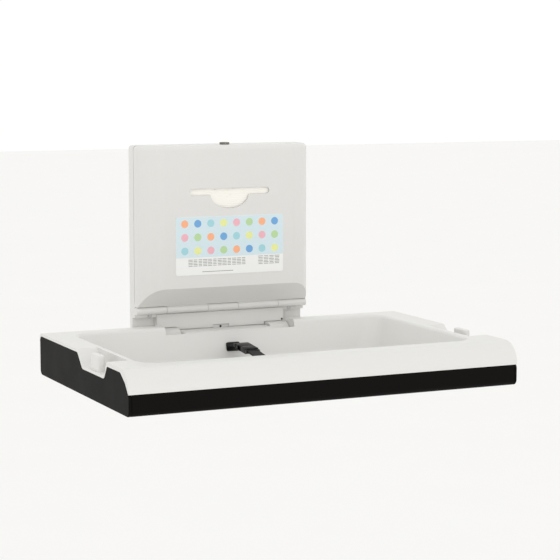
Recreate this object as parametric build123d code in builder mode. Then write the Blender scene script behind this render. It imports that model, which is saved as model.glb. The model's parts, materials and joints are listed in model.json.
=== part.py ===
"""Wall-mounted fold-down changing table: a moulded bed, its hinge, a liner dispenser and a belt.

Row frame: X is the width, -Y points away from the wall, +Z is up. The origin is the centre of the
wall fixing pattern, on the wall plane. Heights above the bed's rim use at(), and distances out
from the wall are negative Y.
"""
import os
from math import atan2, cos, degrees, radians, sin

from build123d import *

os.makedirs("parts", exist_ok=True)

# ---- driving dimensions (millimetres) ----
# bed
bed_width = 860.0
bed_depth = 550.0
bed_height = 90.0
bed_gap = 46.0              # wall to the bed's rear edge
rim_drop = 210.0            # fixing pattern's centre down to the bed's rim
split_depth = 46.0          # rim down to the joint between white tray and black shell
tray_wall = 3.0
shell_wall = 3.0
roll_depth = 47.0           # front-to-back length of the rounded front roll
end_panel_thickness = 6.0
shell_corner = 12.0
# bowl of the tray
bowl_half_width = 371.0
bowl_rear = 40.0            # rear edge of the bed to the bowl, at the rim
bowl_front = 475.0
bowl_floor = 80.0
bowl_end_slope = 30.0       # how far each end wall leans in over the bowl's depth
bowl_rear_slope = 20.0
bowl_front_slope = 34.0
bowl_corner = 42.0
bowl_floor_fillet = 15.0
bowl_rim_fillet = 10.0
rear_corner = 9.0
# bag hook notches
notch_rear = 245.0
notch_front = 424.0
notch_floor = 30.0
notch_inner = 385.0
hook_length = 48.0
hook_centre = 342.0
hook_thickness = 15.0
hook_inset = 4.0            # hook's outer face in from the end of the bed
hook_rise = 2.5             # hook's top above the rim
# hinge
hinge_out = 48.0            # wall to the hinge axis
hinge_drop = 28.0           # rim down to the hinge axis
hinge_gap_half = 156.0
hinge_gap_floor = 16.0
pin_radius = 5.0
running_fit = 0.05
arm_thickness = 6.0
arm_outer = 104.0
arm_hub = 10.5
housing_inner = 109.0
housing_outer = 154.5
housing_radius = 19.0
housing_wall = 2.5
ear_inner = 115.0
ear_thickness = 6.0
bush_radius = 8.0
damper_inner = 124.5
damper_length = 25.0
damper_radius = 14.0
cover_half = 107.0
cover_rear_gap = 34.0       # wall to the hinge cover's rear face
cover_wall = 3.0
cover_skirt = 45.0          # rim down to the hinge cover's lower edge
cover_top = 14.5            # rim down to its top face
pin_inner = 90.0
heel_gap = 22.0             # wall to the heel that carries the open bed
# wall unit
unit_half = 206.0
unit_top = 398.0            # above the rim
unit_foot = 80.0            # wall plate's lower edge below the rim
wing_depth = 16.0
box_depth = 28.0
unit_wall = 3.0
box_floor = 6.0
box_bottom = 50.0
steel_thickness = 3.0
steel_half = 185.0
steel_top = 380.0
steel_foot = 74.0
fixing_x = 320.0
fixing_z = 240.0
fixing_hole = 4.0
panel_out = 32.0            # wall to the centre plate's face
skirt_foot = 14.0           # rim down to the lower edge of the skirt over the hinge cover
catch_half = 18.4
lip_out = 29.5
lip_bottom = 16.5
panel_foot = 8.0
# door and its knuckles
door_out = 85.0
door_seam = 30.0
bevel_top = 84.0
bevel_out = 46.0
door_edge_radius = 50.0
door_top_radius = 10.0
door_wall = 3.0
knuckle_out = 39.0
knuckle_height = 33.0
knuckle_radius = 8.5
knuckle_inner = 36.8
knuckle_outer = 135.8
knuckle_gap = 0.4
knuckle_clear = 0.5         # door's lower edge above the knuckles
door_bottom = knuckle_height + knuckle_radius + knuckle_clear
rod_radius = 2.5
slot_half = 96.0
slot_low = 288.0
slot_high = 303.0
thumb_radius = 46.0
thumb_drop = 31.0
label_half = 129.5
label_low = 112.4
label_high = 241.3
label_thickness = 0.8
# lock
lock_out = 55.0
lock_radius = 11.0
lock_barrel = 8.0
lock_collar = 5.0
plug_radius = 5.5
lock_depth = 18.0
post_offset = 10.5
post_radius = 2.5
hook_inner = 13.6
hook_outer = 18.0
hook_start = -36.0          # degrees, the arm's side of the hook
hook_sweep = 58.0
# liners
pack_half = 112.0
pack_low = 100.0
pack_high = 330.0
pack_depth = 70.0
shelf_thickness = 3.0
shelf_lip = 2.5
# belt
strap_width = 26.0
strap_thickness = 2.0
belt_front = 441.0          # rear edge of the bed to the slot where the front strap enters
belt_slot_up = 10.0         # that slot above the bowl's floor
anchor_up = 30.0            # rear anchor above the bowl's floor
belt_rise = 28.0            # how much higher the buckle rests than that slot
belt_run = 323.0            # slot to the buckle's middle
buckle_width = 32.0
buckle_thickness = 12.0
buckle_skin = 1.5
socket_length = 40.0
tongue_base = 20.0
prong_length = 24.0
prong_offset = 10.5
prong_width = 4.0
# screws and clearances
screw_radius = 2.2
screw_head = 4.5
slip = 0.5
frame_tube = 20.0
frame_wall = 2.0

half = bed_width / 2
hinge_y = -hinge_out
belt_angle = degrees(atan2(belt_rise, belt_run))


def at(height):
    """Row height of a point this far above the bed's rim."""
    return height - rim_drop


def bed_y(back):
    """Row Y of a point this far in front of the bed's rear edge."""
    return -bed_gap - back


slot_z = at(belt_slot_up - bowl_floor)


hinge_z = at(-hinge_drop)


def save(builder, name):
    """Label a finished piece and write it as its own STEP file."""
    builder.part.label = name
    export_step(builder.part, f"parts/{name}.step")


def side_plane(x):
    """Sketch plane across the width: local x is row Y, local y is row Z, normal is +X."""
    return Plane(origin=(x, 0, 0), x_dir=(0, 1, 0), z_dir=(1, 0, 0))


def block(x0, x1, y0, y1, z0, z1, mode=Mode.ADD):
    """A box between two corners, inside the current part."""
    with Locations(((x0 + x1) / 2, (y0 + y1) / 2, (z0 + z1) / 2)):
        Box(abs(x1 - x0), abs(y1 - y0), abs(z1 - z0), mode=mode)


def cylinder_x(x0, x1, y, z, radius, mode=Mode.ADD):
    """A cylinder along X between two planes, inside the current part."""
    with Locations(Location(((x0 + x1) / 2, y, z), (0, 90, 0))):
        Cylinder(radius, abs(x1 - x0), mode=mode)


def cylinder_y(x, y0, y1, z, radius, mode=Mode.ADD):
    """A cylinder along Y between two planes, inside the current part."""
    with Locations(Location((x, (y0 + y1) / 2, z), (90, 0, 0))):
        Cylinder(radius, abs(y1 - y0), mode=mode)


def bowl_sections(wall):
    """The bowl's outlines, grown by a wall: one at the rim and one at its floor."""
    with BuildSketch(Plane.XY.offset(at(0))) as rim:
        with Locations((0, bed_y((bowl_rear + bowl_front) / 2))):
            RectangleRounded(
                2 * (bowl_half_width + wall), bowl_front - bowl_rear + 2 * wall,
                bowl_corner + wall,
            )
    low_rear = bowl_rear + bowl_rear_slope
    low_front = bowl_front - bowl_front_slope
    with BuildSketch(Plane.XY.offset(at(-bowl_floor - wall))) as low:
        with Locations((0, bed_y((low_rear + low_front) / 2))):
            RectangleRounded(
                2 * (bowl_half_width - bowl_end_slope + wall),
                low_front - low_rear + 2 * wall,
                bowl_corner + wall,
            )
    return [rim.sketch, low.sketch]


def rim_outline(x, inset):
    """The tray's side outline: rear skirt, rim and the quarter-ellipse front roll."""
    rear = bed_y(inset)
    front = bed_y(bed_depth - inset)
    crown = bed_y(bed_depth - roll_depth)
    top = at(-inset)
    foot = at(-split_depth)
    with BuildSketch(side_plane(x)) as outline:
        with BuildLine():
            FilletPolyline(
                (crown, top), (rear, top), (rear, foot), radius=rear_corner - inset
            )
            Line((rear, foot), (front, foot))
            EllipticalCenterArc(
                (crown, foot), crown - front, top - foot, start_angle=90, arc_size=90
            )
        make_face()
    return outline.sketch


# ---- bed: tray ----
with BuildPart() as bowl_outer:
    loft(bowl_sections(tray_wall))
    floor_edges = bowl_outer.faces().sort_by(Axis.Z)[0].edges()
    fillet(floor_edges, bowl_floor_fillet + tray_wall)

with BuildPart() as bowl_inner:
    loft(bowl_sections(0))
    fillet(bowl_inner.faces().sort_by(Axis.Z)[0].edges(), bowl_floor_fillet)


def panel_outline(x):
    """Side outline of a black end panel, with the dip that leaves the bag hook notch open."""
    rear = bed_y(0)
    front = bed_y(bed_depth)
    base = at(-bed_height)
    top = at(-6)
    dip = at(-notch_floor - 6)
    with BuildSketch(side_plane(x)) as outline:
        with BuildLine():
            FilletPolyline(
                (rear, base),
                (rear, top),
                (bed_y(notch_rear + 5), top),
                (bed_y(notch_rear + 35), dip),
                (bed_y(notch_front - 14), dip),
                (bed_y(notch_front + 4), top - 3),
                (bed_y(bed_depth - roll_depth), top - 3),
                (bed_y(bed_depth - 20), at(-26)),
                (front, at(-split_depth - 4)),
                (front, base),
                radius=(shell_corner, shell_corner, 8, 12, 12, 6, 12, 18, 12, shell_corner),
                close=True,
            )
        make_face()
    return outline.sketch


with BuildPart() as bed_tray:
    extrude(rim_outline(-half, 0), amount=bed_width)
    cavity_end = end_panel_thickness + tray_wall
    extrude(
        rim_outline(-half + cavity_end, tray_wall),
        amount=bed_width - 2 * cavity_end,
        mode=Mode.SUBTRACT,
    )
    add(bowl_outer.part)
    for side in (-1, 1):
        block(
            side * (notch_inner - tray_wall), side * half,
            bed_y(notch_rear - tray_wall), bed_y(notch_front + tray_wall),
            at(-notch_floor - tray_wall), at(-tray_wall),
        )
    for side in (-1, 1):
        block(
            side * hinge_gap_half, side * (hinge_gap_half + tray_wall),
            bed_y(0.5), bed_y(bowl_rear), at(-split_depth), at(-tray_wall),
        )
    add(bowl_inner.part, mode=Mode.SUBTRACT)
    mouth_edges = [
        edge for edge in bed_tray.edges()
        if abs(edge.center().Z - at(0)) < 0.01
        and abs(edge.center().X) < bowl_half_width + 1
        and bed_y(bowl_front + 1) < edge.center().Y < bed_y(bowl_rear - 1)
    ]
    fillet(mouth_edges, bowl_rim_fillet)
    for side in (-1, 1):
        with BuildSketch(side_plane(side * half)):
            with BuildLine():
                FilletPolyline(
                    (bed_y(notch_rear - 12), at(1)),
                    (bed_y(notch_rear), at(-1)),
                    (bed_y(notch_rear + 34), at(-notch_floor)),
                    (bed_y(notch_front - 12), at(-notch_floor)),
                    (bed_y(notch_front), at(-4)),
                    (bed_y(notch_front + 4), at(1)),
                    radius=(8, 24, 10, 3),
                    close=False,
                )
                Line((bed_y(notch_front + 4), at(1)), (bed_y(notch_rear - 12), at(1)))
            make_face()
        extrude(amount=-side * (half - notch_inner), mode=Mode.SUBTRACT)
    # gap for the hinge: the rear wall is lowered, and the rim behind it is open
    block(-hinge_gap_half, hinge_gap_half, bed_y(-1), bed_y(bowl_rear + 8),
          at(-hinge_gap_floor), at(1), Mode.SUBTRACT)
    block(-hinge_gap_half, hinge_gap_half, bed_y(-1), bed_y(bowl_rear - tray_wall - 1),
          at(-split_depth - 1), at(-hinge_gap_floor), Mode.SUBTRACT)
    # slot where the front strap goes through the front wall
    block(-strap_width / 2 - 2, strap_width / 2 + 2,
          bed_y(belt_front - 16), bed_y(belt_front + 20),
          slot_z - 5.5, slot_z + 5, Mode.SUBTRACT)
    for side in (-1, 1):
        extrude(panel_outline(side * half), amount=-side * end_panel_thickness,
                mode=Mode.SUBTRACT)
save(bed_tray, "bed_tray")

# ---- bed: black shell and end panels ----
with BuildPart() as bottom_shell:
    shell_half = half - end_panel_thickness
    foot = at(-bed_height)
    top = at(-split_depth)
    with BuildSketch(side_plane(-shell_half)):
        with BuildLine():
            FilletPolyline(
                (bed_y(0), top), (bed_y(0), foot), (bed_y(bed_depth), foot),
                (bed_y(bed_depth), top), radius=shell_corner,
            )
            Line((bed_y(bed_depth), top), (bed_y(0), top))
        make_face()
        with BuildLine():
            FilletPolyline(
                (bed_y(shell_wall), top), (bed_y(shell_wall), foot + shell_wall),
                (bed_y(bed_depth - shell_wall), foot + shell_wall),
                (bed_y(bed_depth - shell_wall), top), radius=shell_corner - shell_wall,
            )
            Line((bed_y(bed_depth - shell_wall), top), (bed_y(shell_wall), top))
        make_face(mode=Mode.SUBTRACT)
    extrude(amount=2 * shell_half)
    block(-hinge_gap_half, hinge_gap_half, bed_y(-1), bed_y(27), foot - 1, top + 1,
          Mode.SUBTRACT)
save(bottom_shell, "bottom_shell")

for side, word in ((-1, "left"), (1, "right")):
    with BuildPart() as end_panel:
        extrude(panel_outline(side * half), amount=-side * end_panel_thickness)
        outer = end_panel.faces().sort_by(Axis.X)[0 if side < 0 else -1]
        low = [e for e in outer.edges() if e.center().Z < at(-split_depth - 8)]
        fillet(low, end_panel_thickness / 3)
    save(end_panel, f"end_panel_{word}")

    with BuildPart() as bag_hook:
        outer_x = side * (half - hook_inset)
        inner_x = side * (half - hook_inset - hook_thickness)
        block(inner_x, outer_x, bed_y(hook_centre - hook_length / 2),
              bed_y(hook_centre + hook_length / 2), at(-notch_floor), at(hook_rise))
        fillet(bag_hook.edges().filter_by(Axis.Z), 5)
        fillet(bag_hook.faces().sort_by(Axis.Z)[-1].edges(), 3)
    save(bag_hook, f"bag_hook_{word}")

# ---- bed: steel channel frame with its hinge arms ----
tube_top = at(-bowl_floor - tray_wall + 17)
tube_low = tube_top - frame_tube
frame_rear = 29.0
frame_front = 515.0
frame_half = 402.0
with BuildPart() as support_frame:
    mid_y = bed_y((frame_rear + frame_front) / 2)
    span = frame_front - frame_rear
    with BuildSketch(Plane.XY.offset(tube_low)):
        with Locations((0, mid_y)):
            Rectangle(2 * frame_half, span)
            Rectangle(2 * (frame_half - frame_tube), span - 2 * frame_tube, mode=Mode.SUBTRACT)
    extrude(amount=frame_tube)
    with BuildSketch(Plane.XY.offset(tube_low + frame_wall)):
        with Locations((0, mid_y)):
            Rectangle(2 * (frame_half - frame_wall), span - 2 * frame_wall)
            Rectangle(
                2 * (frame_half - frame_tube + frame_wall),
                span - 2 * (frame_tube - frame_wall),
                mode=Mode.SUBTRACT,
            )
    extrude(amount=frame_tube, mode=Mode.SUBTRACT)
save(support_frame, "support_frame")

with BuildPart() as hinge_arms:
    for side in (-1, 1):
        with BuildSketch(side_plane(side * arm_outer)):
            with Locations((hinge_y, hinge_z)):
                Circle(arm_hub)
            with BuildLine():
                Polyline(
                    (hinge_y + arm_hub - 3, hinge_z),
                    (hinge_y + arm_hub - 3, at(-cover_skirt - 2)),
                    (-heel_gap, at(-cover_skirt - 7)),
                    (-heel_gap, at(-bed_height + 9)),
                    (bed_y(frame_rear), at(-bed_height + 9)),
                    (bed_y(frame_rear), tube_top),
                    (hinge_y - arm_hub + 1, hinge_z),
                    close=True,
                )
            make_face()
            with Locations((hinge_y, hinge_z)):
                Circle(pin_radius, mode=Mode.SUBTRACT)
        extrude(amount=-side * arm_thickness)
save(hinge_arms, "hinge_arms")

with BuildPart() as hinge_pins:
    for side in (-1, 1):
        cylinder_x(side * pin_inner, side * (damper_inner + damper_length), hinge_y, hinge_z,
                   pin_radius)
save(hinge_pins, "hinge_pins")

with BuildPart() as hinge_cover:
    cover_front = bed_y(bowl_rear - tray_wall - 1)
    block(-cover_half, cover_half, -cover_rear_gap, cover_front, at(-cover_skirt),
          at(-cover_top))
    fillet(hinge_cover.faces().sort_by(Axis.Z)[-1].edges(), 4)
    block(-arm_outer, arm_outer, -cover_rear_gap - cover_wall, cover_front + cover_wall,
          at(-cover_skirt - 1), at(-cover_top - cover_wall), Mode.SUBTRACT)
    for side in (-1, 1):
        cylinder_x(side * (arm_outer - 1), side * (cover_half + 1), hinge_y, hinge_z,
                   pin_radius, Mode.SUBTRACT)
save(hinge_cover, "hinge_cover")

with BuildPart() as shell_screws:
    for x in (-360, -120, 120, 360):
        for back in (60, 520):
            with Locations((x, bed_y(back), at(-bed_height) - 0.8)):
                Cylinder(screw_head, 1.6)
save(shell_screws, "shell_screws")

# ---- wall side: steel back plate, white wall plate, hinge panel ----
fixings = [(sx * fixing_x / 2, sz * fixing_z / 2) for sx in (-1, 1) for sz in (-1, 1)]
plate_screws = [(-170, at(20)), (170, at(20)), (-60, at(370)), (60, at(370))]
with BuildPart() as steel_backplate:
    block(-steel_half, steel_half, -steel_thickness, 0, at(-steel_foot), at(steel_top))
    for side in (-1, 1):
        with BuildSketch(side_plane(side * ear_inner)):
            with BuildLine():
                Polyline(
                    (-steel_thickness, hinge_z - 17), (-steel_thickness, hinge_z + 17),
                    (hinge_y, hinge_z + 13), (hinge_y, hinge_z - 13), close=True,
                )
            make_face()
            with Locations((hinge_y, hinge_z)):
                Circle(13)
                Circle(bush_radius, mode=Mode.SUBTRACT)
        extrude(amount=side * ear_thickness)
    for x, z in fixings:
        cylinder_y(x, -steel_thickness - 1, 1, z, fixing_hole, Mode.SUBTRACT)
    for x, z in plate_screws:
        cylinder_y(x, -steel_thickness - 1, 1, z, screw_radius, Mode.SUBTRACT)
save(steel_backplate, "steel_backplate")

with BuildPart() as wall_plate:
    block(-unit_half, unit_half, -wing_depth, 0, at(-unit_foot), at(unit_top - 20))
    block(-unit_half, unit_half, -box_depth, 0, at(lip_bottom), at(unit_top))
    fillet(wall_plate.edges().filter_by(Axis.Y).group_by(Axis.Z)[-1], 8)
    fillet(wall_plate.edges().filter_by(Axis.Y).group_by(Axis.Z)[0], 8)
    block(-unit_half + unit_wall, unit_half - unit_wall, -box_depth - 1, -box_floor,
          at(box_bottom), at(unit_top - unit_wall), Mode.SUBTRACT)
    block(-steel_half, steel_half, -steel_thickness, 1, at(-steel_foot), at(steel_top),
          Mode.SUBTRACT)
    for side in (-1, 1):
        block(side * (ear_inner - slip), side * (ear_inner + ear_thickness + slip),
              -wing_depth - 1, -1, hinge_z - 17.5, hinge_z + 17.5, Mode.SUBTRACT)
    for x, z in fixings:
        cylinder_y(x, -box_depth - 1, 1, z, fixing_hole + 4, Mode.SUBTRACT)
    for x, z in plate_screws:
        cylinder_y(x, -box_depth - 1, 1, z, screw_radius, Mode.SUBTRACT)
save(wall_plate, "wall_plate")

with BuildPart() as backplate_screws:
    for x, z in plate_screws:
        face = -box_depth if z < 0 else -box_floor
        cylinder_y(x, face - 2, -0.5, z, screw_radius)
        cylinder_y(x, face - 2, face, z, screw_head)
save(backplate_screws, "backplate_screws")

knuckle_y = -knuckle_out
knuckle_z = at(knuckle_height)
frame_knuckles = [
    (-unit_half, -knuckle_outer - knuckle_gap),
    (-knuckle_inner + knuckle_gap, knuckle_inner - knuckle_gap),
    (knuckle_outer + knuckle_gap, unit_half),
]
door_knuckles = [
    (-knuckle_outer + knuckle_gap, -knuckle_inner - knuckle_gap),
    (knuckle_inner + knuckle_gap, knuckle_outer - knuckle_gap),
]
with BuildPart() as hinge_panel:
    block(-unit_half, unit_half, -lip_out, -box_depth, at(lip_bottom), at(50 - 0.5))
    block(-housing_outer, housing_outer, -panel_out, -wing_depth, at(-panel_foot),
          at(lip_bottom))
    block(-housing_outer, housing_outer, -panel_out, -box_depth, at(lip_bottom), at(22))
    for side in (-1, 1):
        block(side * (catch_half + 1), side * cover_half, -panel_out, -panel_out + 3,
              at(-skirt_foot), at(-panel_foot + 1))
    for x0, x1 in frame_knuckles:
        block(x0, x1, knuckle_y, -box_depth, at(24.5), at(knuckle_height + 5))
        cylinder_x(x0, x1, knuckle_y, knuckle_z, knuckle_radius)
    for x0, x1 in door_knuckles:
        cylinder_x(x0 - knuckle_gap, x1 + knuckle_gap, knuckle_y, knuckle_z,
                   knuckle_radius + 1, Mode.SUBTRACT)
    cylinder_x(-unit_half + 6, unit_half + 1, knuckle_y, knuckle_z, rod_radius, Mode.SUBTRACT)
    for x, z in plate_screws[:2]:
        cylinder_y(x, -box_depth - 3, -box_depth + 1, z, screw_head + slip, Mode.SUBTRACT)
save(hinge_panel, "hinge_panel")

with BuildPart() as catch_plate:
    block(-catch_half, catch_half, -29, -wing_depth, at(-17), at(-9))
    fillet(catch_plate.edges().filter_by(Axis.Y).group_by(Axis.Z)[0], 3)
    cylinder_y(0, -30, -26, at(-12.5), 1.6, Mode.SUBTRACT)
save(catch_plate, "catch_plate")

for side, word in ((-1, "left"), (1, "right")):
    with BuildPart() as hinge_housing:
        with BuildSketch(side_plane(side * housing_inner)):
            with Locations((hinge_y, hinge_z)):
                Circle(housing_radius)
            with Locations(((hinge_y - wing_depth) / 2, hinge_z)):
                Rectangle(hinge_out - wing_depth, 2 * housing_radius)
        extrude(amount=side * (housing_outer - housing_inner))
        inner_radius = housing_radius - housing_wall
        with BuildSketch(side_plane(side * (housing_inner + housing_wall))):
            with Locations((hinge_y, hinge_z)):
                Circle(inner_radius)
            with Locations(((hinge_y - wing_depth) / 2 + 1, hinge_z)):
                Rectangle(hinge_out - wing_depth + 2, 2 * inner_radius)
        extrude(amount=side * (housing_outer - housing_inner - 2 * housing_wall),
                mode=Mode.SUBTRACT)
        cylinder_x(side * (housing_inner - 1), side * (housing_inner + 4), hinge_y, hinge_z,
                   pin_radius + slip, Mode.SUBTRACT)
    save(hinge_housing, f"hinge_housing_{word}")

with BuildPart() as hinge_bushes:
    for side in (-1, 1):
        x0 = side * ear_inner
        x1 = side * (ear_inner + ear_thickness)
        cylinder_x(x0, x1, hinge_y, hinge_z, bush_radius)
        cylinder_x(x0, x1, hinge_y, hinge_z, pin_radius + running_fit, Mode.SUBTRACT)
save(hinge_bushes, "hinge_bushes")

with BuildPart() as rotary_dampers:
    for side in (-1, 1):
        x0 = side * damper_inner
        x1 = side * (damper_inner + damper_length)
        cylinder_x(x0, x1, hinge_y, hinge_z, damper_radius)
        block(x0, x1, hinge_y, -wing_depth, hinge_z - 5, hinge_z + 5)
        cylinder_x(x0, x1, hinge_y, hinge_z, pin_radius + running_fit, Mode.SUBTRACT)
save(rotary_dampers, "rotary_dampers")

with BuildPart() as stop_pads:
    for side in (-1, 1):
        block(side * (arm_outer - 9), side * (arm_outer + 3), -heel_gap, -wing_depth,
              at(-bed_height + 15), at(-54))
save(stop_pads, "stop_pads")

with BuildPart() as door_hinge_rod:
    cylinder_x(-unit_half + 6, unit_half - 2, knuckle_y, knuckle_z, rod_radius)
save(door_hinge_rod, "door_hinge_rod")

lock_y = -lock_out
keeper_y = lock_y + post_offset
hook_top = at(unit_top) - lock_depth
with BuildPart() as lock_keeper:
    block(-14, 14, -box_floor - 2, -box_floor, hook_top - 22, hook_top - 4)
    block(-9, 9, keeper_y - post_radius, -box_floor, hook_top - 12, hook_top - 9)
    with Locations((0, keeper_y, hook_top - 3.5)):
        Cylinder(post_radius, 17)
save(lock_keeper, "lock_keeper")

with BuildPart() as door_buffers:
    for side in (-1, 1):
        cylinder_y(side * (unit_half - 8), -door_seam, -box_floor, at(350), 4)
save(door_buffers, "door_buffers")

with BuildPart() as liner_shelf:
    shelf_front = -box_floor - pack_depth - shelf_lip
    block(-pack_half - 6, pack_half + 6, shelf_front, -box_floor,
          at(pack_low - shelf_thickness), at(pack_low))
    block(-pack_half - 6, pack_half + 6, shelf_front, shelf_front + shelf_lip - 0.3,
          at(pack_low), at(pack_low + 14))
save(liner_shelf, "liner_shelf")

with BuildPart() as liner_pack:
    block(-pack_half, pack_half, -box_floor - pack_depth, -box_floor - 0.5, at(pack_low),
          at(pack_high))
    fillet(liner_pack.edges().filter_by(Axis.X), 3)
save(liner_pack, "liner_pack")


# ---- door ----
def door_outline(height, inset):
    """Plan outline of the door at a height, its front edges rounded."""
    depth = door_out - door_seam - inset
    with BuildSketch(Plane.XY.offset(at(height))) as outline:
        with BuildLine():
            FilletPolyline(
                (unit_half - inset, -door_seam),
                (unit_half - inset, -door_seam - depth),
                (-unit_half + inset, -door_seam - depth),
                (-unit_half + inset, -door_seam),
                radius=door_edge_radius - inset,
            )
            Line((-unit_half + inset, -door_seam), (unit_half - inset, -door_seam))
        make_face()
    return outline.sketch


def below_bevel(inset):
    """Side outline of the wedge under the door's bevel, which is cut away."""
    with BuildSketch(side_plane(-unit_half - 1)) as wedge:
        with BuildLine():
            Polyline(
                (-bevel_out + inset, at(door_bottom - 1)),
                (-bevel_out + inset, at(door_bottom) + inset),
                (-door_out + inset, at(bevel_top) + inset),
                (-door_out - 2, at(bevel_top) + inset),
                (-door_out - 2, at(door_bottom - 1)),
                close=True,
            )
        make_face()
    return wedge.sketch


with BuildPart() as door_core:
    extrude(door_outline(door_bottom + door_wall, door_wall),
            amount=unit_top - door_bottom - 2 * door_wall)
    extrude(below_bevel(door_wall), amount=2 * unit_half + 2, mode=Mode.SUBTRACT)

with BuildPart() as door_cover:
    extrude(door_outline(door_bottom, 0), amount=unit_top - door_bottom)
    extrude(below_bevel(0), amount=2 * unit_half + 2, mode=Mode.SUBTRACT)
    top_edges = door_cover.faces().sort_by(Axis.Z)[-1].edges()
    fillet([e for e in top_edges if e.center().Y < -door_seam - 1], door_top_radius)
    add(door_core.part, mode=Mode.SUBTRACT)
    for x0, x1 in door_knuckles:
        block(x0, x1, knuckle_y - 4, knuckle_y + 4, knuckle_z, at(door_bottom) + door_wall)
        cylinder_x(x0, x1, knuckle_y, knuckle_z, knuckle_radius)
    cylinder_x(-unit_half, unit_half, knuckle_y, knuckle_z, rod_radius + running_fit,
               Mode.SUBTRACT)
    front = Plane(origin=(0, -door_out - 1, 0), x_dir=(1, 0, 0), z_dir=(0, -1, 0))
    with BuildSketch(front):
        with Locations((0, at((slot_low + slot_high) / 2))):
            SlotOverall(2 * slot_half, slot_high - slot_low)
        with Locations((0, at(slot_low + 1))):
            Ellipse(thumb_radius, thumb_drop)
        with Locations((0, at(slot_high + thumb_drop))):
            Rectangle(2 * thumb_radius + 4, 2 * thumb_drop, mode=Mode.SUBTRACT)
    extrude(amount=-door_wall - 2, mode=Mode.SUBTRACT)
    with Locations((0, lock_y, at(unit_top) - 1)):
        Cylinder(lock_barrel, 12, mode=Mode.SUBTRACT)
save(door_cover, "door_cover")

with BuildPart() as label_panel:
    block(-label_half, label_half, -door_out - label_thickness, -door_out, at(label_low),
          at(label_high))
    fillet(label_panel.edges().filter_by(Axis.Y), 5)
save(label_panel, "label_panel")

with BuildPart() as lock_body:
    with Locations((0, lock_y, at(unit_top) + lock_collar / 2)):
        Cylinder(lock_radius, lock_collar)
    with Locations((0, lock_y, at(unit_top) - lock_depth / 2 + 3)):
        Cylinder(lock_barrel, lock_depth - 6)
    with Locations((0, lock_y, at(unit_top) - 5)):
        Cylinder(plug_radius + running_fit, 40, mode=Mode.SUBTRACT)
save(lock_body, "lock_body")

with BuildPart() as lock_nut:
    with BuildSketch(Plane.XY.offset(at(unit_top) - door_wall - 4)):
        with Locations((0, lock_y)):
            RegularPolygon(11.5, 6)
            Circle(lock_barrel, mode=Mode.SUBTRACT)
    extrude(amount=4)
save(lock_nut, "lock_nut")

# ---- lock plug, turned by the key ----
with BuildPart() as lock_plug:
    plug_top = at(unit_top) + lock_collar - 0.5
    with Locations((0, lock_y, (plug_top + hook_top) / 2)):
        Cylinder(plug_radius, plug_top - hook_top)
    block(-0.8, 0.8, lock_y - 3.5, lock_y + 3.5, plug_top - 8, plug_top + 1, Mode.SUBTRACT)
save(lock_plug, "lock_plug")

with BuildPart() as lock_cam:
    with BuildSketch(Plane(origin=(0, lock_y, hook_top - 2))):
        Circle(plug_radius)
        with BuildLine():
            outer_arc = CenterArc((0, 0), hook_outer, hook_start, hook_sweep)
            inner_arc = CenterArc((0, 0), hook_inner, hook_start, hook_sweep)
            Line(outer_arc @ 0, inner_arc @ 0)
            Line(outer_arc @ 1, inner_arc @ 1)
        make_face()
        with Locations(Location((0, 0, 0), (0, 0, hook_start + 7))):
            with Locations((hook_outer / 2, 0)):
                Rectangle(hook_outer - 1, 4)
    extrude(amount=2)
save(lock_cam, "lock_cam")

with BuildPart() as cam_screw:
    with Locations((0, lock_y, hook_top - 3)):
        Cylinder(4, 2)
save(cam_screw, "cam_screw")

# ---- belt: the female half of the buckle and the rear strap ----
slot_y = bed_y(belt_front)
tilt = radians(belt_angle)
belt_plane = Plane(
    origin=(0, slot_y, slot_z), x_dir=(0, cos(tilt), sin(tilt)), z_dir=(0, -sin(tilt), cos(tilt))
)
mouth = belt_run - 12       # along the belt, where the socket opens
socket_end = mouth + socket_length


def belt_block(s0, s1, across0, across1, low, high, mode=Mode.ADD):
    """A box in the belt's own plane: along it, across it, and through its thickness."""
    with Locations(((s0 + s1) / 2, (across0 + across1) / 2, (low + high) / 2)):
        Box(s1 - s0, across1 - across0, high - low, mode=mode)


skin_top = buckle_thickness / 2
inside = skin_top - buckle_skin
with BuildPart(belt_plane) as buckle_socket:
    belt_block(mouth, socket_end, -buckle_width / 2, buckle_width / 2, -skin_top, skin_top)
    fillet(buckle_socket.edges().filter_by(lambda e: e.length < buckle_thickness + 0.1), 4)
    belt_block(mouth - 1, mouth + 28, -buckle_width, buckle_width, -inside, inside,
               Mode.SUBTRACT)
    belt_block(socket_end - 8, socket_end - 4, -strap_width / 2 - 0.5, strap_width / 2 + 0.5,
               -skin_top - 1, skin_top + 1, Mode.SUBTRACT)
save(buckle_socket, "buckle_socket")

with BuildPart(belt_plane) as buckle_tongue:
    belt_block(mouth - tongue_base, mouth - 0.5, -buckle_width / 2, buckle_width / 2,
               -skin_top, skin_top)
    fillet(buckle_tongue.edges().filter_by(lambda e: e.length < buckle_thickness + 0.1), 4)
    belt_block(mouth - tongue_base + 4, mouth - tongue_base + 8, -strap_width / 2 - 0.5,
               strap_width / 2 + 0.5, -skin_top - 1, skin_top + 1, Mode.SUBTRACT)
    belt_block(mouth - 1, mouth + 22, -3, 3, -inside + slip, inside - slip)
save(buckle_tongue, "buckle_tongue")

with BuildPart(belt_plane) as front_strap:
    belt_block(-22, mouth - tongue_base, -strap_width / 2, strap_width / 2,
               -strap_thickness / 2, strap_thickness / 2)
save(front_strap, "front_strap")

for side, word in ((-1, "left"), (1, "right")):
    across = -side * prong_offset
    with BuildPart(belt_plane) as prong:
        belt_block(mouth, mouth + prong_length, across - prong_width / 2,
                   across + prong_width / 2, -inside + slip, inside - slip)
        head_a = across
        head_b = -side * (buckle_width / 2 + 1)
        belt_block(mouth + prong_length - 10, mouth + prong_length, min(head_a, head_b),
                   max(head_a, head_b), -inside + slip, inside - slip)
    save(prong, f"prong_{word}")

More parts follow.
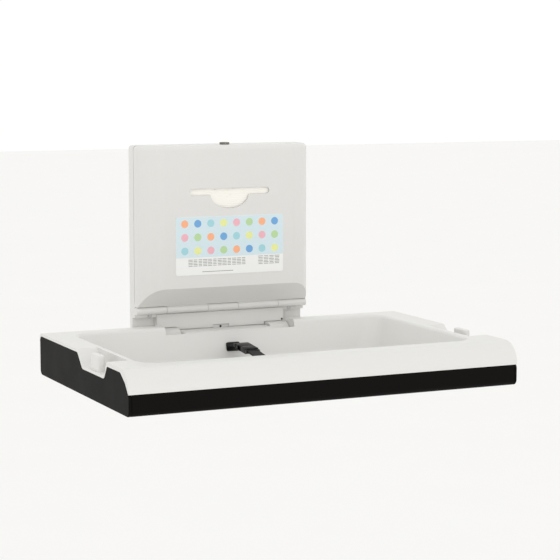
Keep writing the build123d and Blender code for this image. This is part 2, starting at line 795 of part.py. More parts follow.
anchor_drop = bowl_floor - anchor_up
anchor_lean = degrees(atan2(bowl_rear_slope, bowl_floor))
anchor_plane = Plane(
    origin=(0, bed_y(bowl_rear + bowl_rear_slope * anchor_drop / bowl_floor), at(-anchor_drop)),
    x_dir=(1, 0, 0),
    z_dir=(0, -cos(radians(anchor_lean)), sin(radians(anchor_lean))),
)
with BuildPart(anchor_plane) as rear_anchor:
    with Locations((0, 0, 1.5)):
        Box(strap_width + 6, 20, 3)
    fillet(rear_anchor.edges().filter_by(lambda e: e.length < 3.1), 4)
save(rear_anchor, "rear_anchor")

strap_start = anchor_plane.from_local_coords(Vector(0, 0, 3.4))
strap_stop = belt_plane.from_local_coords(Vector(socket_end + 0.2, 0, 0))
with BuildPart() as rear_strap:
    y0, z0 = strap_start.Y, strap_start.Z
    y1, z1 = strap_stop.Y, strap_stop.Z
    with BuildSketch(side_plane(-strap_width / 2)):
        with BuildLine():
            Polyline((y0, z0 - 1), (y0, z0 + 1), (y1, z1 + 1), (y1, z1 - 1), close=True)
        make_face()
    extrude(amount=strap_width)
save(rear_strap, "rear_strap")

print("belt angle", round(belt_angle, 3), "deg")
print("belt pivot", round(slot_y, 3), round(slot_z, 3))
print("prong pivots", [tuple(round(v, 2) for v in belt_plane.from_local_coords(
    Vector(mouth, -s * prong_offset, 0))) for s in (-1, 1)])
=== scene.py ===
"""Looks of a wall-mounted fold-down changing table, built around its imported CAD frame.

Lengths are metres in the row frame: X is the width, -Y points out from the wall, +Z is up.
"""

import json
import logging
import math
from dataclasses import dataclass, field
from enum import Enum
from typing import Iterable, Iterator, Sequence

import bmesh
import bpy
from mathutils import Matrix, Vector


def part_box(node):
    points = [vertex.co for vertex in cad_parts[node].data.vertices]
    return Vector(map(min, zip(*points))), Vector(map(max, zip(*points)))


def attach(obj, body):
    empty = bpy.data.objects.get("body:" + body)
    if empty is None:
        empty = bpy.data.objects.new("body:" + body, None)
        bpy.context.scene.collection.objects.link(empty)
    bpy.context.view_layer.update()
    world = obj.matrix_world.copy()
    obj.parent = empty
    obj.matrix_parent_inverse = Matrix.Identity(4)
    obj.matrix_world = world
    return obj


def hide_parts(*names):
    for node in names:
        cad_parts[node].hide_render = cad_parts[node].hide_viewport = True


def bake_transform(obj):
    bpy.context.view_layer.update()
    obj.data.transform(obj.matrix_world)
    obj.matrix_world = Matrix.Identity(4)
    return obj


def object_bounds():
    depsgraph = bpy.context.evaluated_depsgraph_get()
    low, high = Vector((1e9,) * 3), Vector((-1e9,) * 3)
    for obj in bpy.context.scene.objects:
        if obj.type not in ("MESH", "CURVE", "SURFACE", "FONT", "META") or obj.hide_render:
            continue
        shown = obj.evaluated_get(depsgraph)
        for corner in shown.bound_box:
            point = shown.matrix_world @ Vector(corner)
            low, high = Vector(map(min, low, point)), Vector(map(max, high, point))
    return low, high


LOG = logging.getLogger("changing_table")
MM = 0.001
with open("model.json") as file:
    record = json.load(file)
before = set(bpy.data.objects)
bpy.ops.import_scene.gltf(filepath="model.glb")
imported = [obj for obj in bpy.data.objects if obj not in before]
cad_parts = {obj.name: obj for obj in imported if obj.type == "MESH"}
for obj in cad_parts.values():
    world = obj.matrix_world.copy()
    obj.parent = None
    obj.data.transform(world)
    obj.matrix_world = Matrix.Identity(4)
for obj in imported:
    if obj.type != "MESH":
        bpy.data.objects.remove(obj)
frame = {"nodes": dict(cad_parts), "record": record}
CAD_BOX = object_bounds()


# ---------------------------------------------------------------- small helpers

def linear(code: str) -> tuple[float, float, float, float]:
    """Turn an sRGB hex colour into linear RGBA.

    Args:
        code: six hex digits, with or without a leading hash.

    Returns:
        Red, green, blue and an alpha of one.
    """
    digits = code.lstrip("#")
    out = []
    for start in (0, 2, 4):
        value = int(digits[start:start + 2], 16) / 255
        out.append(value / 12.92 if value <= 0.04045 else ((value + 0.055) / 1.055) ** 2.4)
    return (out[0], out[1], out[2], 1.0)


def per_metre(size_mm: float) -> float:
    """Texture scale that repeats once over a real length.

    Args:
        size_mm: the length in millimetres.

    Returns:
        The scale for a texture in metres.
    """
    return 1000.0 / size_mm


def add_node(tree: bpy.types.NodeTree, kind: str, inputs: dict | None = None,
             **settings: object) -> bpy.types.Node:
    """Add a shader node with its settings and links.

    Args:
        tree: the material's node tree.
        kind: the node's type name.
        inputs: socket name or index to a value, or to an output socket to link.
        **settings: node properties such as operation or blend_type.

    Returns:
        The new node.
    """
    node = tree.nodes.new(kind)
    for name, value in settings.items():
        setattr(node, name, value)
    for key, value in (inputs or {}).items():
        socket = node.inputs[key]
        if isinstance(value, bpy.types.NodeSocket):
            tree.links.new(value, socket)
        else:
            socket.default_value = value
    return node


def to_object(name: str, bm: bmesh.types.BMesh, materials: Sequence[bpy.types.Material],
              smooth_angle: float = 35.0) -> bpy.types.Object:
    """Turn a bmesh into a scene object at the origin.

    Args:
        name: the piece's name.
        bm: the finished bmesh, which is freed.
        materials: its material slots, in order.
        smooth_angle: edges sharper than this stay crisp, in degrees.

    Returns:
        The new object.
    """
    mesh = bpy.data.meshes.new(name)
    bm.to_mesh(mesh)
    bm.free()
    for material in materials:
        mesh.materials.append(material)
    mesh.shade_smooth()
    mesh.set_sharp_from_angle(angle=math.radians(smooth_angle))
    obj = bpy.data.objects.new(name, mesh)
    bpy.context.collection.objects.link(obj)
    return obj


def box_mesh(bm: bmesh.types.BMesh, low: Sequence[float], high: Sequence[float],
             matrix: Matrix | None = None) -> list[bmesh.types.BMVert]:
    """Add a box between two corners.

    Args:
        bm: the bmesh to add to.
        low: lowest corner.
        high: highest corner.
        matrix: placement applied after the box is sized.

    Returns:
        The box's vertices.
    """
    verts = bmesh.ops.create_cube(bm, size=1.0)["verts"]
    size = [h - l for l, h in zip(low, high)]
    middle = Vector([(h + l) / 2 for l, h in zip(low, high)])
    bmesh.ops.scale(bm, vec=size, verts=verts)
    bmesh.ops.translate(bm, vec=middle, verts=verts)
    if matrix is not None:
        bmesh.ops.transform(bm, matrix=matrix, verts=verts)
    return verts


def round_edges(bm: bmesh.types.BMesh, edges: Iterable[bmesh.types.BMEdge], width: float,
                segments: int = 3) -> None:
    """Round the given edges.

    Args:
        bm: the bmesh that holds them.
        edges: the edges to round.
        width: bevel width in metres.
        segments: number of facets across the rounding.
    """
    bmesh.ops.bevel(bm, geom=list(edges), offset=width, segments=segments, profile=0.5,
                    affect="EDGES", material=-1, clamp_overlap=True)


def edges_of(verts: Iterable[bmesh.types.BMVert]) -> list[bmesh.types.BMEdge]:
    """Every edge that touches these vertices.

    Args:
        verts: the vertices.

    Returns:
        Their edges, each once.
    """
    return list({edge for vert in verts for edge in vert.link_edges})


# ---------------------------------------------------------------- finishes

@dataclass(frozen=True)
class Finish:
    """A surface finish: colour and roughness, with fine texture from real sizes."""

    name: str
    colour: str
    roughness: float = 0.4
    metallic: float = 0.0
    ior: float = 1.5
    grain_mm: float = 0.8
    grain_depth_mm: float = 0.01
    mottle_mm: float = 60.0
    mottle: float = 0.03
    roughness_spread: float = 0.06
    coat: float = 0.0
    sheen: float = 0.0
    specular: float = 0.5

    def build(self) -> bpy.types.Material:
        """Make the material once and reuse it."""
        known = bpy.data.materials.get(self.name)
        if known is not None:
            return known
        material = bpy.data.materials.new(self.name)
        material.use_nodes = True
        tree = material.node_tree
        tree.nodes.clear()
        shader = add_node(tree, "ShaderNodeBsdfPrincipled", {
            "Metallic": self.metallic,
            "Coat Weight": self.coat,
            "Sheen Weight": self.sheen,
            "Specular IOR Level": self.specular,
        })
        if self.metallic < 0.5:
            shader.inputs["IOR"].default_value = self.ior
        where = add_node(tree, "ShaderNodeTexCoord").outputs["Object"]
        self.dress(tree, shader, where)
        output = add_node(tree, "ShaderNodeOutputMaterial")
        tree.links.new(shader.outputs["BSDF"], output.inputs["Surface"])
        return material

    def dress(self, tree: bpy.types.NodeTree, shader: bpy.types.Node,
              where: bpy.types.NodeSocket) -> None:
        """Give the shader its colour, roughness and bump.

        Args:
            tree: the material's node tree.
            shader: its Principled shader.
            where: object coordinates.
        """
        self.tint(tree, shader, where)
        grain = add_node(tree, "ShaderNodeTexNoise", {
            "Vector": where, "Scale": per_metre(self.grain_mm), "Detail": 2.0})
        self.relief(tree, shader, grain.outputs["Fac"])

    def tint(self, tree: bpy.types.NodeTree, shader: bpy.types.Node,
             where: bpy.types.NodeSocket) -> bpy.types.Node:
        """Vary colour and roughness softly over the surface.

        Args:
            tree: the material's node tree.
            shader: its Principled shader.
            where: object coordinates.

        Returns:
            The slow noise that drives both.
        """
        slow = add_node(tree, "ShaderNodeTexNoise", {
            "Vector": where, "Scale": per_metre(self.mottle_mm), "Detail": 4.0,
            "Roughness": 0.6})
        base = linear(self.colour)
        dark = tuple(c * (1 - self.mottle) for c in base[:3]) + (1.0,)
        light = tuple(min(1.0, c * (1 + self.mottle)) for c in base[:3]) + (1.0,)
        mix = add_node(tree, "ShaderNodeMix", {"Factor": slow.outputs["Fac"]},
                       data_type="RGBA")
        for index, value in ((6, dark), (7, light)):
            mix.inputs[index].default_value = value
        tree.links.new(mix.outputs[2], shader.inputs["Base Color"])
        rough = add_node(tree, "ShaderNodeMapRange", {
            "Value": slow.outputs["Fac"],
            "To Min": max(0.02, self.roughness - self.roughness_spread),
            "To Max": min(1.0, self.roughness + self.roughness_spread)})
        tree.links.new(rough.outputs["Result"], shader.inputs["Roughness"])
        return slow

    def relief(self, tree: bpy.types.NodeTree, shader: bpy.types.Node,
               height: bpy.types.NodeSocket) -> None:
        """Drive the shader's normal from a height pattern.

        Args:
            tree: the material's node tree.
            shader: its Principled shader.
            height: the pattern.
        """
        bump = add_node(tree, "ShaderNodeBump", {
            "Height": height, "Distance": self.grain_depth_mm * MM, "Strength": 1.0})
        tree.links.new(bump.outputs["Normal"], shader.inputs["Normal"])


@dataclass(frozen=True)
class MouldedPolyethylene(Finish):
    """Rotationally moulded polyethylene: satin white, a faint orange-peel skin and light scuffs."""

    scuff_mm: float = 22.0
    scuff_depth: float = 0.10

    def dress(self, tree: bpy.types.NodeTree, shader: bpy.types.Node,
              where: bpy.types.NodeSocket) -> None:
        """Add orange peel from the mould and fine wipe marks that only change the gloss.

        Args:
            tree: the material's node tree.
            shader: its Principled shader.
            where: object coordinates.
        """
        self.tint(tree, shader, where)
        peel = add_node(tree, "ShaderNodeTexNoise", {
            "Vector": where, "Scale": per_metre(self.grain_mm), "Detail": 3.0})
        self.relief(tree, shader, peel.outputs["Fac"])
        stretched = add_node(tree, "ShaderNodeMapping", {
            "Vector": where, "Rotation": (0.4, 0.0, 0.5), "Scale": (1.0, 9.0, 3.0)})
        wipes = add_node(tree, "ShaderNodeTexNoise", {
            "Vector": stretched.outputs["Vector"], "Scale": per_metre(self.scuff_mm),
            "Detail": 6.0, "Roughness": 0.7})
        marks = add_node(tree, "ShaderNodeMapRange", {
            "Value": wipes.outputs["Fac"], "From Min": 0.55, "From Max": 0.75,
            "To Min": self.roughness, "To Max": self.roughness + self.scuff_depth})
        tree.links.new(marks.outputs["Result"], shader.inputs["Roughness"])
        shader.inputs["Subsurface Weight"].default_value = 0.06
        shader.inputs["Subsurface Radius"].default_value = (0.004, 0.004, 0.0035)


@dataclass(frozen=True)
class TexturedPolypropylene(Finish):
    """Injection-moulded polypropylene: a leathery spark-eroded skin that scatters highlights."""

    pit_mm: float = 1.4

    def dress(self, tree: bpy.types.NodeTree, shader: bpy.types.Node,
              where: bpy.types.NodeSocket) -> None:
        """Add the spark-eroded pits, drawn coarser than the real 0.3 mm so that they show.

        Args:
            tree: the material's node tree.
            shader: its Principled shader.
            where: object coordinates.
        """
        self.tint(tree, shader, where)
        pits = add_node(tree, "ShaderNodeTexVoronoi", {
            "Vector": where, "Scale": per_metre(self.pit_mm)}, feature="SMOOTH_F1")
        grain = add_node(tree, "ShaderNodeTexNoise", {
            "Vector": where, "Scale": per_metre(self.grain_mm), "Detail": 3.0})
        both = add_node(tree, "ShaderNodeMath", {
            0: pits.outputs["Distance"], 1: grain.outputs["Fac"]}, operation="ADD")
        self.relief(tree, shader, both.outputs["Value"])


@dataclass(frozen=True)
class ZincPlatedSteel(Finish):
    """Zinc plated mild steel: soft grey spangle with a faint blue passivation."""

    spangle_mm: float = 6.0

    def dress(self, tree: bpy.types.NodeTree, shader: bpy.types.Node,
              where: bpy.types.NodeSocket) -> None:
        """Tint each zinc crystal a little and let its gloss differ.

        Args:
            tree: the material's node tree.
            shader: its Principled shader.
            where: object coordinates.
        """
        crystals = add_node(tree, "ShaderNodeTexVoronoi", {
            "Vector": where, "Scale": per_metre(self.spangle_mm)})
        level = add_node(tree, "ShaderNodeSeparateColor", {
            "Color": crystals.outputs["Color"]}).outputs["Red"]
        base = linear(self.colour)
        mix = add_node(tree, "ShaderNodeMix", {"Factor": level}, data_type="RGBA")
        mix.inputs[6].default_value = tuple(c * 0.86 for c in base[:3]) + (1.0,)
        mix.inputs[7].default_value = tuple(min(1.0, c * 1.08) for c in base[:3]) + (1.0,)
        tree.links.new(mix.outputs[2], shader.inputs["Base Color"])
        rough = add_node(tree, "ShaderNodeMapRange", {
            "Value": level, "To Min": self.roughness - 0.08, "To Max": self.roughness + 0.1})
        tree.links.new(rough.outputs["Result"], shader.inputs["Roughness"])
        grain = add_node(tree, "ShaderNodeTexNoise", {
            "Vector": where, "Scale": per_metre(self.grain_mm)})
        self.relief(tree, shader, grain.outputs["Fac"])


@dataclass(frozen=True)
class TurnedMetal(Finish):
    """Turned or ground metal: fine parallel tool marks across the axis."""

    mark_mm: float = 0.5
    stretch: tuple[float, float, float] = (1.0, 0.05, 0.05)

    def dress(self, tree: bpy.types.NodeTree, shader: bpy.types.Node,
              where: bpy.types.NodeSocket) -> None:
        """Stretch a fine noise across the axis so that it reads as tool marks.

        Args:
            tree: the material's node tree.
            shader: its Principled shader.
            where: object coordinates.
        """
        self.tint(tree, shader, where)
        drawn = add_node(tree, "ShaderNodeMapping", {"Vector": where, "Scale": self.stretch})
        marks = add_node(tree, "ShaderNodeTexNoise", {
            "Vector": drawn.outputs["Vector"], "Scale": per_metre(self.mark_mm),
            "Detail": 3.0})
        self.relief(tree, shader, marks.outputs["Fac"])


@dataclass(frozen=True)
class CrepePaper(Finish):
    """Creped tissue paper: soft fine ridges across the sheet and a fibrous mottle."""

    crepe_mm: float = 2.2

    def dress(self, tree: bpy.types.NodeTree, shader: bpy.types.Node,
              where: bpy.types.NodeSocket) -> None:
        """Lay crepe ridges along the width of the sheets.

        Args:
            tree: the material's node tree.
            shader: its Principled shader.
            where: object coordinates.
        """
        self.tint(tree, shader, where)
        wavy = add_node(tree, "ShaderNodeTexWave", {
            "Vector": where, "Scale": per_metre(self.crepe_mm) / (2 * math.pi),
            "Distortion": 3.0, "Detail": 2.0, "Detail Scale": 1.5}, bands_direction="Z")
        self.relief(tree, shader, wavy.outputs["Fac"])


@dataclass(frozen=True)
class NylonWebbing(Finish):
    """Woven nylon webbing: a herringbone of ribs that follows the strap's own UV map."""

    rib_mm: float = 2.4

    def dress(self, tree: bpy.types.NodeTree, shader: bpy.types.Node,
              where: bpy.types.NodeSocket) -> None:
        """Cross two slanted waves in strap coordinates so that they read as a weave.

        Args:
            tree: the material's node tree.
            shader: its Principled shader.
            where: object coordinates, which the strap's own map replaces.
        """
        strap = add_node(tree, "ShaderNodeUVMap", uv_map="strap").outputs["UV"]
        scale = per_metre(self.rib_mm) / (2 * math.pi)
        heights = []
        for slant in (0.8, -0.8):
            turned = add_node(tree, "ShaderNodeMapping", {
                "Vector": strap, "Rotation": (0.0, 0.0, slant)})
            wave = add_node(tree, "ShaderNodeTexWave", {
                "Vector": turned.outputs["Vector"], "Scale": scale})
            heights.append(wave.outputs["Fac"])
        weave = add_node(tree, "ShaderNodeMath", {0: heights[0], 1: heights[1]},
                         operation="MULTIPLY")
        base = linear(self.colour)
        mix = add_node(tree, "ShaderNodeMix", {"Factor": weave.outputs["Value"]},
                       data_type="RGBA")
        mix.inputs[6].default_value = tuple(c * 0.6 for c in base[:3]) + (1.0,)
        mix.inputs[7].default_value = tuple(min(1.0, c * 1.5) for c in base[:3]) + (1.0,)
        tree.links.new(mix.outputs[2], shader.inputs["Base Color"])
        shader.inputs["Roughness"].default_value = self.roughness
        self.relief(tree, shader, weave.outputs["Value"])


def printing_ink(name: str, colour: str) -> Finish:
    """A printing ink on the label's film: thin flat colour with a satin gloss.

    Args:
        name: the material's name.
        colour: its sRGB hex colour.

    Returns:
        The finish.
    """
    return Finish(name, colour, 0.35, grain_mm=0.4, grain_depth_mm=0.004)


class Palette(Enum):
    """The finishes used on the changing table."""

    # White rotationally moulded polyethylene: satin, with the mould's faint orange peel
    WHITE = MouldedPolyethylene("white_polyethylene", "DFDEDB", 0.38, grain_mm=2.6,
                                grain_depth_mm=0.02, mottle=0.012, specular=0.4)
    # Black textured polypropylene: spark-eroded mould skin, so it hardly shines
    BLACK = TexturedPolypropylene("black_polypropylene", "080605", 0.55, grain_mm=0.9,
                                  grain_depth_mm=0.04, mottle=0.2, specular=0.08)
    # White moulded nylon of the hinge dampers: fine matt skin
    DAMPER = TexturedPolypropylene("white_nylon", "DEDEDB", 0.5, grain_depth_mm=0.03)
    # Black moulded acetal of the buckle: smooth and slightly waxy
    ACETAL = TexturedPolypropylene("black_acetal", "0E0D0D", 0.34, grain_mm=0.7, pit_mm=0.9,
                                   grain_depth_mm=0.015, specular=0.3)
    # Zinc plated steel: soft grey crystals under a clear passivation
    ZINC = ZincPlatedSteel("zinc_plated_steel", "B3B6B8", 0.42, metallic=1.0,
                           grain_depth_mm=0.01)
    # Ground steel of pins and screws: bright, with fine tool marks
    GROUND = TurnedMetal("ground_steel", "B9BABB", 0.28, metallic=1.0)
    # Sintered bronze of the hinge bushes: warm, slightly dull
    BRONZE = TurnedMetal("sintered_bronze", "B98A4B", 0.45, metallic=1.0)
    # Chrome plated zinc of the lock: dark mirror with a fine turned grain
    CHROME = TurnedMetal("chrome_plated_zinc", "77736C", 0.2, metallic=1.0, mark_mm=0.4,
                         grain_depth_mm=0.002, stretch=(1.0, 1.0, 0.05))
    # Black nitrile rubber of pads and plugs: matt
    RUBBER = Finish("nitrile_rubber", "101010", 0.8, grain_mm=0.6, grain_depth_mm=0.04,
                    specular=0.2)
    # Creped tissue paper of the liners: warm white, matt, ridged across
    PAPER = CrepePaper("creped_paper", "FAF8F1", 0.9, grain_depth_mm=0.2, mottle=0.02,
                       specular=0.1)
    # Woven black nylon webbing: ribbed, with a dull silk shine
    WEBBING = NylonWebbing("nylon_webbing", "141415", 0.75, grain_depth_mm=0.35, sheen=0.1,
                           specular=0.2)
    # Printed vinyl film of the label: smooth, under a clear laminate
    LABEL_WHITE = Finish("printed_film_white", "F0F0EE", 0.32, grain_mm=0.35,
                         grain_depth_mm=0.004, mottle=0.01, coat=0.2)
    # The same film with a solid pale blue tint, a little uneven as printed areas are
    LABEL_BLUE = Finish("printed_film_blue", "D3E5EB", 0.32, grain_mm=0.35,
                        grain_depth_mm=0.004, mottle=0.02, mottle_mm=45.0, coat=0.2)
    # Grey ink of the thin rules
    INK_GREY = printing_ink("grey_ink", "8E8F91")
    # Mid blue ink of the dots
    INK_BLUE = printing_ink("blue_ink", "6FA8DC")
    # Pale pink ink of the dots
    INK_PINK = printing_ink("pink_ink", "EFB4BF")
    # Pale green ink of the dots
    INK_GREEN = printing_ink("green_ink", "B9D8A0")
    # Pale yellow ink of the dots
    INK_YELLOW = printing_ink("yellow_ink", "E9EC9D")
    # Pale orange ink of the dots
    INK_ORANGE = printing_ink("orange_ink", "FBB287")
    # Pale teal ink of the dots
    INK_TEAL = printing_ink("teal_ink", "A3D5DE")

    def material(self) -> bpy.types.Material:
        """The finish as a material, made on first use."""
        return self.value.build()


CAD_FINISH = {
    "white_plastic": Palette.WHITE,
    "black_plastic": Palette.BLACK,
    "galvanised_steel": Palette.ZINC,
    "pin_steel": Palette.GROUND,
    "bronze": Palette.BRONZE,
    "rubber": Palette.RUBBER,
    "chrome": Palette.CHROME,
    "paper": Palette.PAPER,
    "label": Palette.LABEL_WHITE,
    "webbing": Palette.WEBBING,
    "buckle_plastic": Palette.ACETAL,
    "damper_plastic": Palette.DAMPER,
}


# ---------------------------------------------------------------- carried-over CAD parts

@dataclass
class FramePieces:
    """The CAD parts: every node gets its finish, and mouldings get their rounded edges."""

    slots: dict[str, str] = field(default_factory=lambda: {
        part["node"]: part["material_slot"] for part in frame["record"]["subparts"]})
    rounded: dict[str, float] = field(default_factory=lambda: {
        "bed_tray": 2.2, "bottom_shell": 1.5, "end_panel_left": 1.2, "end_panel_right": 1.2,
        "wall_plate": 1.2, "hinge_panel": 1.2, "hinge_housing_left": 1.5,
        "hinge_housing_right": 1.5, "door_cover": 1.2, "liner_shelf": 0.8,
        "catch_plate": 0.6, "lock_body": 0.5, "hinge_arms": 0.6})

    def dress(self) -> None:
        """Put the right finish on every CAD node."""
        for name, node in frame["nodes"].items():
            finish = CAD_FINISH[self.slots[name]].material()
            for slot in node.material_slots:
                slot.material = finish

    def soften(self, name: str, width_mm: float) -> bpy.types.Object:
        """Copy a moulding and round its sharp edges, then let the copy stand for the node.

        Args:
            name: the CAD node.
            width_mm: size of the rounding.

        Returns:
            The rounded copy.
        """
        bm = bmesh.new()
        bm.from_mesh(frame["nodes"][name].data)
        bmesh.ops.remove_doubles(bm, verts=bm.verts, dist=2e-6)
        bmesh.ops.dissolve_limit(bm, angle_limit=math.radians(0.4), verts=bm.verts,
                                 edges=bm.edges)
        sharp = [edge for edge in bm.edges
                 if len(edge.link_faces) == 2
                 and edge.calc_face_angle(0.0) > math.radians(38)]
        round_edges(bm, sharp, width_mm * MM)
        body = next(b for b, nodes in frame["record"]["behaviour"]["bodies"].items()
                    if name in nodes)
        finish = CAD_FINISH[self.slots[name]].material()
        obj = to_object(f"{name}_moulding", bm, [finish], 40.0)
        obj.modifiers.new("even_shading", "WEIGHTED_NORMAL").keep_sharp = True
        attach(obj, body)
        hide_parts(name)
        return obj

    def build(self) -> None:
        """Dress every node and soften the mouldings."""
        self.dress()
        for name, width in self.rounded.items():
            obj = self.soften(name, width)
            LOG.info("%s: %d faces", obj.name, len(obj.data.polygons))


# ---------------------------------------------------------------- dispenser door's label

@dataclass
class RuleBlock:
    """A block of short printed rules of uneven length, in millimetres on the panel."""

    left: float
    top: float
    rows: int
    columns: int
    step: float
    longest: float
    shortfall: float
    row_beat: int
    column_beat: int
    drop: float = 3.4

    def dashes(self) -> Iterator[tuple[float, float, float]]:
        """Work the block's rules out, row by row.

        Yields:
            Each rule's middle across, its height and its length.
        """
        for row in range(self.rows):
            height = self.top - self.drop * row
            for column in range(self.columns):
                beat = row * self.row_beat + column * self.column_beat
                length = self.longest - self.shortfall * math.sin(beat) ** 2
                yield self.left + self.step * column, height, length


@dataclass
class LabelPrint:
    """The label's print: thin films of ink on the panel, one over the other."""

    film: float = 0.05 * MM
    border_mm: float = 0.5
    rule_tall_mm: float = 1.3
    field_share: float = 0.70
    dot_rows: int = 3
    dot_columns: int = 8
    dot_pitch_mm: float = 31.0
    dot_radius_mm: float = 8.5
    dot_inks: tuple[Palette, ...] = (
        Palette.INK_TEAL, Palette.INK_YELLOW, Palette.INK_PINK,
        Palette.INK_GREEN, Palette.INK_ORANGE, Palette.INK_BLUE)
    rule_blocks: tuple[RuleBlock, ...] = (
        RuleBlock(left=-95, top=34, rows=5, columns=12, step=11.6, longest=10.6,
                  shortfall=2.4, row_beat=3, column_beat=1),
        RuleBlock(left=74, top=36, rows=6, columns=4, step=13.5, longest=12.4,
                  shortfall=2.8, row_beat=1, column_beat=2))
    foot_rule: tuple[float, float, float] = (-30, 7, 74)

    def __post_init__(self) -> None:
        """Read the panel's place from the frame."""
        self.low, self.high = (Vector(corner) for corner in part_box("label_panel"))
        self.inks: list[Palette] = []
        self.bm = bmesh.new()

    def at_panel(self, across_mm: float, height_mm: float, layer: int) -> Vector:
        """A point on the panel, by its distance from the panel's middle and lower edge.

        Args:
            across_mm: distance from the middle, to the right.
            height_mm: distance above the panel's lower edge.
            layer: how many films lie under it.

        Returns:
            The point in the row frame.
        """
        return Vector((across_mm * MM, self.low.y - layer * self.film,
                       self.low.z + height_mm * MM))

    def lay(self, verts: list[bmesh.types.BMVert], place: Vector, ink: Palette) -> None:
        """Stand a flat outline up on the panel and give it a film's thickness.

        Args:
            verts: a capped outline in the XY plane.
            place: where its middle goes.
            ink: its finish.
        """
        stand = Matrix.Translation(place) @ Matrix.Rotation(math.radians(90), 4, "X")
        bmesh.ops.transform(self.bm, matrix=stand, verts=verts)
        faces = list({face for vert in verts for face in vert.link_faces})
        if ink not in self.inks:
            self.inks.append(ink)
        grown = bmesh.ops.extrude_face_region(self.bm, geom=faces)["geom"]
        front = [item for item in grown if isinstance(item, bmesh.types.BMVert)]
        bmesh.ops.translate(self.bm, vec=(0.0, -self.film, 0.0), verts=front)
        for face in {face for vert in verts + front for face in vert.link_faces}:
            face.material_index = self.inks.index(ink)

    def disc(self, across: float, height: float, radius: float, layer: int,
             ink: Palette) -> None:
        """Print a filled circle.

        Args:
            across: its middle, in millimetres to the right of the panel's.
            height: its middle, in millimetres above the panel's lower edge.
            radius: its radius in millimetres.
            layer: how many films lie under it.
            ink: its finish.
        """
        verts = bmesh.ops.create_circle(self.bm, cap_ends=True, radius=radius * MM,
                                        segments=40)["verts"]
        self.lay(verts, self.at_panel(across, height, layer), ink)

    def strip(self, across: float, height: float, width: float, tall: float, layer: int,
              ink: Palette) -> None:
        """Print a filled rectangle.

        Args:
            across: its middle, in millimetres to the right of the panel's.
            height: its middle, in millimetres above the panel's lower edge.
            width: its width in millimetres.
            tall: its height in millimetres.
            layer: how many films lie under it.
            ink: its finish.
        """
        verts = bmesh.ops.create_grid(self.bm, x_segments=1, y_segments=1, size=0.5)["verts"]
        bmesh.ops.scale(self.bm, vec=(width * MM, tall * MM, 1.0), verts=verts)
        self.lay(verts, self.at_panel(across, height, layer), ink)

    def draw_dots(self) -> None:
        """Print the pale blue field and an even pattern of equal dots, inks in turn."""
        width = (self.high.x - self.low.x) / MM
        tall = (self.high.z - self.low.z) / MM
        field_tall = tall * self.field_share
        field_low = tall - field_tall
        self.strip(0.0, field_low + field_tall / 2, width - 2 * self.border_mm,
                   field_tall - 2 * self.border_mm, 0, Palette.LABEL_BLUE)
        for row in range(self.dot_rows):
            height = field_low + field_tall * (row + 0.5) / self.dot_rows
            for column in range(self.dot_columns):
                across = (column - (self.dot_columns - 1) / 2) * self.dot_pitch_mm
                ink = self.dot_inks[(column + 2 * row) % len(self.dot_inks)]
                self.disc(across, height, self.dot_radius_mm, 1, ink)

    def draw_rules(self) -> None:
        """Print the strip below the field: two blocks of thin plain rules and a long one."""
        dashes = [dash for block in self.rule_blocks for dash in block.dashes()]
        for across, height, length in dashes + [self.foot_rule]:
            self.strip(across, height, length, self.rule_tall_mm, 0, Palette.INK_GREY)

    def build(self) -> None:
        """Print the whole label and fix it to the door."""
        self.draw_dots()
        self.draw_rules()
        bmesh.ops.recalc_face_normals(self.bm, faces=self.bm.faces)
        obj = to_object("label_print", self.bm, [ink.material() for ink in self.inks])
        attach(obj, "door")
        LOG.info("label_print: %d inks", len(self.inks))


# ---------------------------------------------------------------- liners

@dataclass
class LinerPack:
    """Folded paper liners standing in the dispenser."""

    sheets: int = 24
    slack: float = 0.35 * MM
    lead_gap: float = 4.4 * MM
    lead_width: float = 0.208
    lead_low: float = 0.028
    lead_high: float = 0.112
    lead_thick: float = 0.3 * MM
    ripple: float = 0.35 * MM
    side_gap: float = 1.2 * MM
    stray: float = 0.8 * MM
    settle: float = 1.6 * MM

    def leading_sheet(self, bm: bmesh.types.BMesh) -> None:
        """Add the next sheet, teased forward so that it stands close behind the slot.

        Args:
            bm: the bmesh to add to.
        """
        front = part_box("liner_pack")[0][1]
        verts = bmesh.ops.create_grid(bm, x_segments=60, y_segments=36, size=0.5)["verts"]
        for vert in verts:
            across, rise = vert.co.x, vert.co.y + 0.5
            waves = (math.sin(across * 41 + rise * 7) + math.sin(across * 17 - rise * 11)) / 2
            reach = self.lead_gap * math.sin(math.pi * min(1.0, rise * 1.5) / 2)
            vert.co = Vector((across * self.lead_width,
                              front - reach - self.ripple * waves,
                              self.lead_low + rise * (self.lead_high - self.lead_low)))
        faces = list({face for vert in verts for face in vert.link_faces})
        bmesh.ops.solidify(bm, geom=faces, thickness=self.lead_thick)

    def build(self) -> None:
        """Stand the folded liners one in front of another, each a little out of line."""
        low, high = (Vector(corner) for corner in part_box("liner_pack"))
        pitch = (high.y - low.y) / self.sheets
        bm = bmesh.new()
        for index in range(self.sheets):
            shift = math.sin(index * 2.3) * self.stray
            drop = abs(math.sin(index * 1.3)) * self.settle
            back = low.y + index * pitch
            corners = ((low.x + self.side_gap + shift, back, low.z),
                       (high.x - self.side_gap + shift, back + pitch - self.slack,
                        high.z - drop))
            verts = box_mesh(bm, *corners)
            folds = [edge for edge in edges_of(verts)
                     if abs(edge.verts[0].co.x - edge.verts[1].co.x) > 0.1]
            round_edges(bm, folds, pitch * 0.3, 2)
        self.leading_sheet(bm)
        obj = to_object("liner_sheets", bm, [Palette.PAPER.material()], 60.0)
        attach(obj, "root")
        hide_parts("liner_pack")
        LOG.info("liner_sheets: %d sheets", self.sheets)


# ---------------------------------------------------------------- belt

